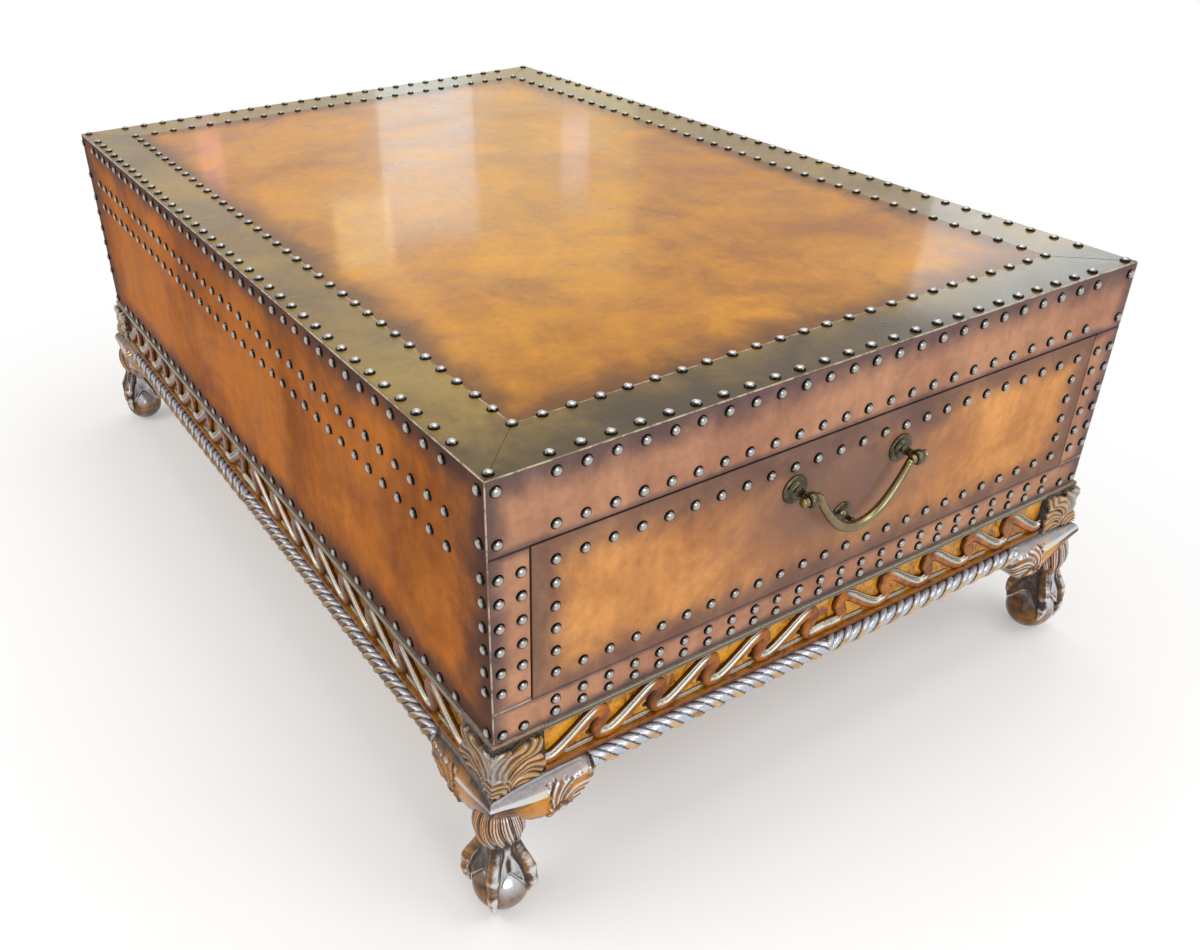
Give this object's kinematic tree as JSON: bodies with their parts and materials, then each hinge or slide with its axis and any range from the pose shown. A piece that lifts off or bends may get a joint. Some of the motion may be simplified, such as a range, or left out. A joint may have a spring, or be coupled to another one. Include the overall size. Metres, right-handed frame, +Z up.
{
  "type": "coffee table",
  "caption": "Low coffee table made as a leather-covered nail-studded trunk with an end drawer, on a carved base with ball-and-claw feet.",
  "frame": {"origin": "centre of the case's outline, on the floor", "axes": "+X out of the drawer end, along the table's length; +Y to the right side; +Z up"},
  "size_m": [1.278, 0.8646, 0.489],
  "materials": {
    "leather_amber": "polished and waxed, orange-amber, darker towards the border",
    "leather_olive": "polished and waxed, dark olive-brown",
    "leather_tan": "mottled tan, burnished dark towards every edge",
    "antique_brass": "dull antique brass, darkened in the hollows",
    "steel_fixings": "plain zinc",
    "nail_metal": "dark pewter domes, rubbed bright on top",
    "carved_gilt_wood": "golden glaze, dark in the hollows, silver-grey on the high edges",
    "carved_bronze_wood": "dark bronze-brown glaze with gold and silver-grey highlights",
    "bare_wood": "plain softwood boards, unfinished"
  },
  "bodies": {
    "root": {"apron_rail_front": "carved_gilt_wood", "apron_rail_left": "carved_gilt_wood", "apron_rail_rear": "carved_gilt_wood", "apron_rail_right": "carved_gilt_wood", "base_screws": "steel_fixings", "bay_divider": "bare_wood", "bottom_panel": "bare_wood", "corner_block_front_left": "carved_gilt_wood", "corner_block_front_right": "carved_gilt_wood", "corner_block_rear_left": "carved_gilt_wood", "corner_block_rear_right": "carved_gilt_wood", "corner_braces": "bare_wood", "drawer_guide_left": "bare_wood", "drawer_guide_right": "bare_wood", "drawer_kicker_left": "bare_wood", "drawer_kicker_right": "bare_wood", "drawer_runner_left": "bare_wood", "drawer_runner_right": "bare_wood", "drawer_stops": "bare_wood", "end_leather_rear": "leather_tan", "end_panel_rear": "bare_wood", "front_leather_bottom": "leather_tan", "front_leather_left": "leather_tan", "front_leather_right": "leather_tan", "front_leather_top": "leather_tan", "front_rail_bottom": "bare_wood", "front_rail_top": "bare_wood", "front_stile_left": "bare_wood", "front_stile_right": "bare_wood", "leg_front_left": "carved_bronze_wood", "leg_front_right": "carved_bronze_wood", "leg_rear_left": "carved_bronze_wood", "leg_rear_right": "carved_bronze_wood", "rope_moulding_front": "carved_gilt_wood", "rope_moulding_left": "carved_gilt_wood", "rope_moulding_rear": "carved_gilt_wood", "rope_moulding_right": "carved_gilt_wood", "side_leather_left": "leather_tan", "side_leather_right": "leather_tan", "side_panel_left": "bare_wood", "side_panel_right": "bare_wood", "top_border_front": "leather_olive", "top_border_left": "leather_olive", "top_border_rear": "leather_olive", "top_border_right": "leather_olive", "top_leather_field": "leather_amber", "top_panel": "bare_wood"},
    "drawer": {"drawer_front": "bare_wood", "drawer_leather": "leather_tan", "drawer_side_left": "bare_wood", "drawer_side_right": "bare_wood", "drawer_back": "bare_wood", "drawer_bottom": "bare_wood", "handle_posts": "antique_brass", "post_nuts": "steel_fixings", "strike_plate": "antique_brass"},
    "bail": {"bail": "antique_brass"}
  },
  "joints": [
    {"name": "drawer_slide", "type": "slide", "parent": "root", "child": "drawer", "axis": [1, 0, 0], "range_m": [0, 0.42]},
    {"name": "bail_swing", "type": "hinge", "parent": "drawer", "child": "bail", "pos_m": [0.6326, 0, 0.368], "axis": [0, -1, 0], "range_deg": [0, 199]}
  ]
}
